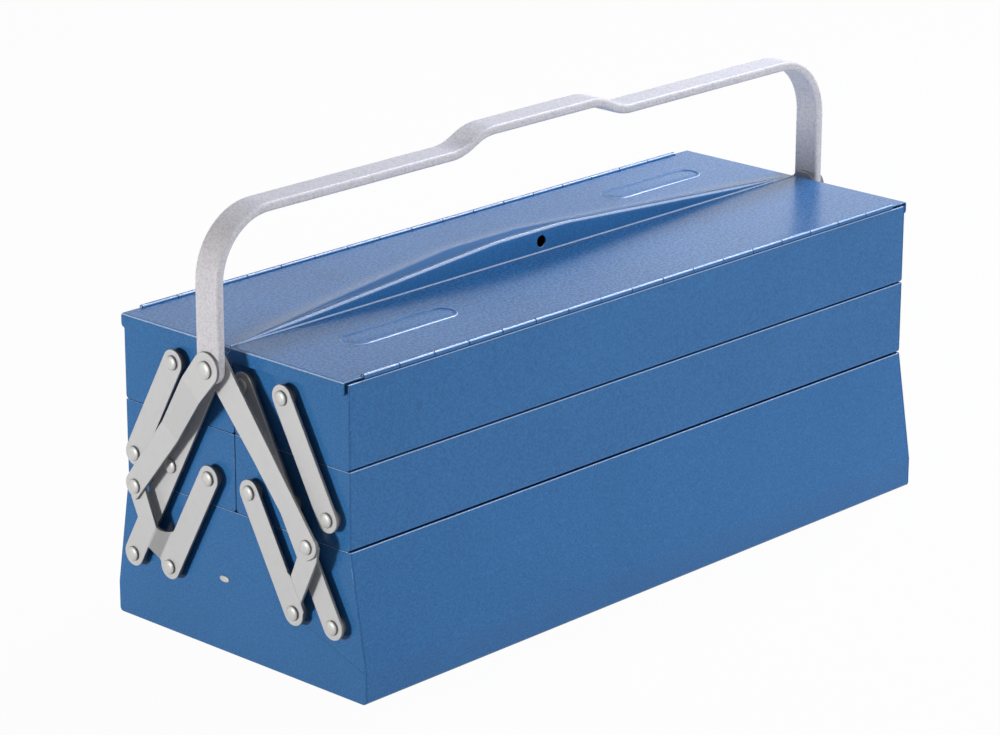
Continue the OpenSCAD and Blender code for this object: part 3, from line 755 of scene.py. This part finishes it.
def lip_mesh():
    """The narrow sloping lip at the foot of the left lid's ridge, over the gap between the lids."""
    settings = bpy.context.scene.tool_box_lids
    end, inner, _, top = lid_box("left")
    root = inner + settings.lip_root
    tip = inner - settings.lip
    section = [
        (root, top + settings.lip_rise),
        (inner, top + settings.lip_rise),
        (tip, top - settings.lip_drop),
        (tip, top - settings.lip_foot),
        (root, top - settings.lip_foot),
    ]
    count = len(section)
    points = [(x, y, z) for x in (settings.bend - end, end - settings.bend) for y, z in section]
    faces = grid_faces(2, count, closed=True)
    faces += [tuple(range(count)), tuple(range(count, 2 * count))]
    piece = mesh_piece("left_lid_lip", points, faces)
    piece.data.set_sharp_from_angle(angle=SHARP_LIP)
    return piece


def thickened(piece, thickness):
    """Gives a skin its thickness below its upper face."""
    sheet = piece.modifiers.new("sheet", "SOLIDIFY")
    sheet.thickness = thickness
    sheet.offset = -1.0
    return baked(piece)


def cut_lock_hole(piece):
    """Cuts the round lock hole through the ridge's face."""
    settings = bpy.context.scene.tool_box_lids
    top = lid_box("left")[3]
    middle = Matrix.Translation((settings.lock_x, 0.0, top + settings.lock_height))
    radius = settings.lock_hole / 2
    shape = bmesh.new()
    bmesh.ops.create_cone(
        shape, cap_ends=True, segments=ROUND_STEPS, radius1=radius, radius2=radius, depth=DRILL_LENGTH,
        matrix=middle @ Matrix.Rotation(math.pi / 2, 4, "X")
    )
    mesh = bpy.data.meshes.new("lock_drill")
    shape.to_mesh(mesh)
    shape.free()
    drill = new_object("lock_drill", mesh)
    cut = piece.modifiers.new("lock hole", "BOOLEAN")
    cut.operation = "DIFFERENCE"
    cut.solver = "EXACT"
    cut.object = drill
    baked(piece)
    bpy.data.objects.remove(drill)


class TOOLBOX_OT_lids(bpy.types.Operator):
    """Make the two lids, with the ridge and lock hole on the left one"""

    bl_idname = "toolbox.lids"
    bl_label = "Lids"

    def execute(self, context):
        settings = context.scene.tool_box_lids
        for side in SIDES:
            piece = thickened(lid_mesh(side), settings.sheet)
            if side == "left":
                cut_lock_hole(piece)
            piece.data.set_sharp_from_angle(angle=SHARP_ROUND)
            round_edges(piece, context.scene.tool_box_paint.lid_edge, SHARP_CUT)
            finish_piece(piece, "blue_paint", f"{side}_lid", [f"{side}_lid"])
        finish_piece(lip_mesh(), "blue_paint", "left_lid")
        return {"FINISHED"}


# ---- embossed panels ----

# Points across the panel's rim, from its foot inwards: (inset in mm, share of the rim's height)
PANEL_RIM = (
    (0.0, -0.2), (0.25, 0.2), (0.7, 0.75), (1.2, 1.0), (1.7, 0.75), (2.2, 0.25), (3.0, 0.0),
    (4.2, 0.05), (5.0, 0.35), (5.8, 0.45),
)
PANEL_END_STEPS = 16


def oblong(centre, length, width, steps):
    """A loop of points around an oblong with round ends."""
    radius = width / 2
    reach = length / 2 - radius
    right = arc((centre[0] + reach, centre[1]), radius, -90.0, 90.0, steps)
    left = arc((centre[0] - reach, centre[1]), radius, 90.0, 270.0, steps)
    return right + left


class TOOLBOX_OT_panels(bpy.types.Operator):
    """Make the plain embossed oblong on each lid"""

    bl_idname = "toolbox.panels"
    bl_label = "Embossed panels"

    def execute(self, context):
        settings = context.scene.tool_box_lids
        top = lid_box("right")[3]
        for side, middle in (("left", settings.left_panel), ("right", settings.right_panel)):
            points = []
            for inset, rise in PANEL_RIM:
                length = settings.panel_length - 2 * inset * MM
                width = settings.panel_width - 2 * inset * MM
                height = top + rise * settings.panel_height
                points += [(x, y, height) for x, y in oblong(middle, length, width, PANEL_END_STEPS)]
            columns = len(points) // len(PANEL_RIM)
            faces = grid_faces(len(PANEL_RIM), columns, closed=True)
            faces.append(tuple(range(len(points) - columns, len(points))))
            finish_piece(mesh_piece(f"{side}_lid_panel", points, faces), "blue_paint", f"{side}_lid")
        return {"FINISHED"}


# ---- hinges ----


class TOOLBOX_OT_hinges(bpy.types.Operator):
    """Make the two piano hinges"""

    bl_idname = "toolbox.hinges"
    bl_label = "Piano hinges"

    def execute(self, context):
        leaf_edge = context.scene.tool_box_paint.leaf_edge
        pin_edge = context.scene.tool_box_metal.pin_edge
        for side in SIDES:
            for leaf in ("tray", "lid"):
                node = f"{side}_hinge_{leaf}_leaf"
                dress_node(node, f"{node}_painted", leaf_edge, "blue_paint")
            dress_node(f"{side}_hinge_pin", f"{side}_hinge_wire", pin_edge, "link_zinc")
        return {"FINISHED"}


# ---- linkage ----


class TOOLBOX_OT_links(bpy.types.Operator):
    """Make the links, drive plates, handle arms and spacers"""

    bl_idname = "toolbox.links"
    bl_label = "Links and arms"

    def execute(self, context):
        settings = context.scene.tool_box_metal
        for side in SIDES:
            for end in ENDS:
                for kind in ("long_link", "short_link", "drive_plate", "arm"):
                    node = f"{side}_{kind}_{end}"
                    dress_node(node, f"{node}_plated", settings.link_edge, "link_zinc")
        for node in frame["nodes"]:
            if node.endswith("_spacers"):
                dress_node(node, f"{node}_plated", settings.spacer_edge, "link_zinc")
        return {"FINISHED"}


# ---- rivets and stud ----

# A rivet's dome, from its tip to its undercut foot: (share of its height, share of its radius)
DOME = (
    (0.0, 0.0), (0.01, 0.25), (0.05, 0.5), (0.14, 0.7), (0.28, 0.85), (0.44, 0.95), (0.58, 0.99),
    (0.7, 1.0), (0.82, 0.96), (0.9, 0.86), (1.0, 0.8),
)

# A rivet's closed end, from the sheet outwards: (share of its height, share of the dome's radius)
TAIL = ((0.0, 0.96), (0.5, 1.0), (1.0, 0.9))

# The stud from behind the wall to its tip: (share of how far it stands out, share of its width)
STUD = ((-0.6, 1.0), (0.3, 1.0), (0.75, 0.93), (0.95, 0.75), (1.0, 0.45), (1.0, 0.0))
STUD_STEPS = 36


def ring(x, middle, half_width, half_height, steps):
    """Points on an ellipse that faces along the box."""
    turns = [math.tau * k / steps for k in range(steps)]
    return [(x, middle.y + half_width * math.cos(a), middle.z + half_height * math.sin(a)) for a in turns]


def rivet_outline(radius, dome, shank, tail, length):
    """Half outline of a rivet as (distance from the tip of its dome, radius)."""
    outline = [(dome * depth, radius * out) for depth, out in DOME]
    outline += [(dome, shank), (length - tail, shank)]
    if tail:
        outline += [(length - tail + tail * depth, radius * out) for depth, out in TAIL]
    return outline + [(length, 0.0)]


def rivet_mesh(name, boxes, dome, shank, tail):
    """One piece with a rivet in each box, its dome on the side away from the tool box's middle."""
    points = []
    faces = []
    for low, high in boxes:
        outwards = 1 if low.x > 0 else -1
        tip = high.x if low.x > 0 else low.x
        radius = (high.z - low.z) / 2
        outline = rivet_outline(radius, dome, shank, tail, high.x - low.x)
        first = len(points)
        for depth, out in outline:
            points += ring(tip - outwards * depth, (low + high) / 2, out, out, ROUND_STEPS)
        for face in grid_faces(len(outline), ROUND_STEPS, closed=True):
            faces.append(tuple(first + corner for corner in face))
    piece = mesh_piece(name, points, faces, welded=True)
    piece.data.set_sharp_from_angle(angle=SHARP_ROUND)
    return piece


class TOOLBOX_OT_rivets(bpy.types.Operator):
    """Make the domed rivets of the linkage and the handle"""

    bl_idname = "toolbox.rivets"
    bl_label = "Rivets"

    def execute(self, context):
        settings = context.scene.tool_box_rivets
        for node, source in frame["nodes"].items():
            if not node.endswith("_rivets"):
                continue
            shank, tail = settings.shank, settings.tail
            if node == "handle_rivets":
                shank, tail = settings.handle_shank, settings.handle_tail
            elif "drive" in node:
                tail = 0.0
            piece = rivet_mesh(f"{node}_domed", solids_in(node), settings.dome, shank, tail)
            finish_piece(piece, "rivet_zinc", source["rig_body"], [node])
        for side in SIDES:
            node = f"{side}_drive_tails"
            dress_node(node, f"{node}_closed", settings.tail_edge, "rivet_zinc")
        return {"FINISHED"}


class TOOLBOX_OT_stud(bpy.types.Operator):
    """Make the small oval stud in the near end of the base"""

    bl_idname = "toolbox.stud"
    bl_label = "Oval stud"

    def execute(self, context):
        settings = context.scene.tool_box_rivets
        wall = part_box("base_end_near")[0].x
        middle = Vector((wall, settings.stud_y, settings.stud_z))
        points = []
        for rise, out in STUD:
            half_width = out * settings.stud_width / 2
            half_height = out * settings.stud_depth / 2
            points += ring(wall - rise * settings.stud_stand, middle, half_width, half_height, STUD_STEPS)
        piece = mesh_piece("oval_stud", points, grid_faces(len(STUD), STUD_STEPS, closed=True))
        finish_piece(piece, "link_zinc", "base")
        return {"FINISHED"}


# ---- handle ----


class TOOLBOX_OT_handle(bpy.types.Operator):
    """Make the carrying handle"""

    bl_idname = "toolbox.handle"
    bl_label = "Handle"

    def execute(self, context):
        dress_node("handle", "handle_bar", context.scene.tool_box_handle.edge, "handle_paint", segments=4)
        return {"FINISHED"}


# ---- stage ----

# Each lamp: where it stands, where it looks, its width in metres and its tint
LAMPS = {
    "key": ((-2.05, 0.6, 0.12), (0.0, 0.0, 0.12), 0.3, (1.01, 1.0, 0.97)),
    "fill": ((0.2, -2.1, 0.6), (0.0, 0.0, 0.1), 1.2, (1.0, 1.0, 1.0)),
    "top": ((1.35, 0.1, 1.75), (0.0, 0.0, 0.2), 0.8, (0.9, 0.95, 1.06)),
    "far": ((2.8, 1.6, 1.12), (0.0, 0.0, 0.2), 1.2, (1.0, 1.0, 1.0)),
}
WHITE = (1.0, 1.0, 1.0, 1.0)

# Clearance of the floor below the box
FLOOR_GAP = 0.1 * MM


def seen_directly(tree):
    """1 for a ray from the camera, or one that a gloss or a clear piece sends on."""
    camera, glossy, clear = (
        tree.node("ShaderNodeLightPath", output=f"Is {kind} Ray")
        for kind in ("Camera", "Glossy", "Transmission")
    )
    return camera.maths("MAXIMUM", camera.maths("MAXIMUM", camera, glossy), clear)


def lamp(name, spot, aim, width, tint, power):
    """A soft square lamp that looks at a point."""
    light = bpy.data.lights.new(name, "AREA")
    light.energy = power
    light.color = tint
    light.size = width
    made = bpy.data.objects.new(name, light)
    made.location = spot
    made.rotation_euler = (Vector(aim) - Vector(spot)).to_track_quat("-Z", "Y").to_euler()
    bpy.context.scene.collection.objects.link(made)


class TOOLBOX_OT_stage(bpy.types.Operator):
    """Make the camera, the lamps, the floor and the surroundings"""

    bl_idname = "toolbox.stage"
    bl_label = "Stage"

    def execute(self, context):
        scene = context.scene
        settings = scene.tool_box_stage
        self.camera(scene, settings)
        self.world(scene, settings)
        self.floor(settings)
        for name, (spot, aim, width, tint) in LAMPS.items():
            lamp(f"{name}_lamp", spot, aim, width, tint, getattr(settings, name))
        scene.view_settings.view_transform = "Standard"
        return {"FINISHED"}

    def camera(self, scene, settings):
        """The camera, turned by its azimuth, elevation and roll."""
        azimuth, elevation, roll = settings.azimuth, settings.elevation, settings.roll
        flat = math.cos(elevation)
        back = Vector((math.sin(azimuth) * flat, -math.cos(azimuth) * flat, math.sin(elevation)))
        level = (-back).cross(Vector((0, 0, 1))).normalized()
        upright = level.cross(-back)
        right = math.cos(roll) * level + math.sin(roll) * upright
        up = math.cos(roll) * upright - math.sin(roll) * level
        view = bpy.data.cameras.new("camera")
        view.lens = settings.focal
        view.sensor_width = 36.0
        view.sensor_fit = "HORIZONTAL"
        view.clip_end = 50.0
        made = bpy.data.objects.new("camera", view)
        turned = Matrix((right, up, back)).transposed().to_4x4()
        made.matrix_world = Matrix.Translation(settings.camera) @ turned
        scene.collection.objects.link(made)
        scene.camera = made

    def world(self, scene, settings):
        """A dim even light from all around, behind a white background."""
        world = bpy.data.worlds.new("surroundings")
        scene.world = world
        tree = Tree(world)
        seen = seen_directly(tree)
        strength = settings.surroundings + seen * (1.0 - settings.surroundings)
        light = tree.node("ShaderNodeBackground", {}, {"Color": WHITE, "Strength": strength})
        tree.node("ShaderNodeOutputWorld", {}, {"Surface": light})

    def floor(self, settings):
        """The white floor, which keeps the box's shadow."""
        reach = settings.floor_reach
        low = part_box("base_body")[0].z - FLOOR_GAP
        corners = [(-reach, -reach, low), (reach, -reach, low), (reach, reach, low), (-reach, reach, low)]
        piece = mesh_piece("floor", corners, [(0, 1, 2, 3)])
        made = bpy.data.materials.new("pale_floor")
        tree = Tree(made)
        grey = settings.floor
        matt = tree.node("ShaderNodeBsdfDiffuse", {}, {"Color": (grey, grey, grey, 1.0)})
        glow = tree.node("ShaderNodeEmission", {}, {"Color": WHITE, "Strength": 1.0})
        mixed = tree.node("ShaderNodeMixShader", {}, [seen_directly(tree) * settings.glow, matt, glow])
        tree.node("ShaderNodeOutputMaterial", {}, {"Surface": mixed})
        piece.data.materials.append(made)


# ---- add-on ----

PIECES = (
    TOOLBOX_OT_stage,
    TOOLBOX_OT_trays,
    TOOLBOX_OT_lids,
    TOOLBOX_OT_panels,
    TOOLBOX_OT_hinges,
    TOOLBOX_OT_links,
    TOOLBOX_OT_rivets,
    TOOLBOX_OT_stud,
    TOOLBOX_OT_handle,
)
SETTINGS = {
    "tool_box_paint": PaintSettings,
    "tool_box_metal": MetalSettings,
    "tool_box_rivets": RivetSettings,
    "tool_box_lids": LidSettings,
    "tool_box_handle": HandleSettings,
    "tool_box_stage": StageSettings,
}


class TOOLBOX_PT_panel(bpy.types.Panel):
    """The tool box's pieces and settings"""

    bl_idname = "TOOLBOX_PT_panel"
    bl_label = "Tool box"
    bl_space_type = "VIEW_3D"
    bl_region_type = "UI"
    bl_category = "Tool box"

    def draw(self, context):
        for name, group in SETTINGS.items():
            box = self.layout.box()
            for field in group.__annotations__:
                box.prop(getattr(context.scene, name), field)
        for piece in PIECES:
            self.layout.operator(piece.bl_idname)


def register():
    """Adds the settings, operators and panel to Blender."""
    for made in (*SETTINGS.values(), *PIECES, TOOLBOX_PT_panel):
        bpy.utils.register_class(made)
    for name, group in SETTINGS.items():
        setattr(bpy.types.Scene, name, PointerProperty(type=group))


def unregister():
    """Takes them out of Blender again."""
    for name in SETTINGS:
        delattr(bpy.types.Scene, name)
    for made in reversed((*SETTINGS.values(), *PIECES, TOOLBOX_PT_panel)):
        bpy.utils.unregister_class(made)


def main():
    """Makes the stage and every piece."""
    register()
    bpy.ops.toolbox.stage()
    bpy.ops.toolbox.trays()
    bpy.ops.toolbox.lids()
    bpy.ops.toolbox.panels()
    bpy.ops.toolbox.hinges()
    bpy.ops.toolbox.links()
    bpy.ops.toolbox.rivets()
    bpy.ops.toolbox.stud()
    bpy.ops.toolbox.handle()


if __name__ == "__main__":
    main()
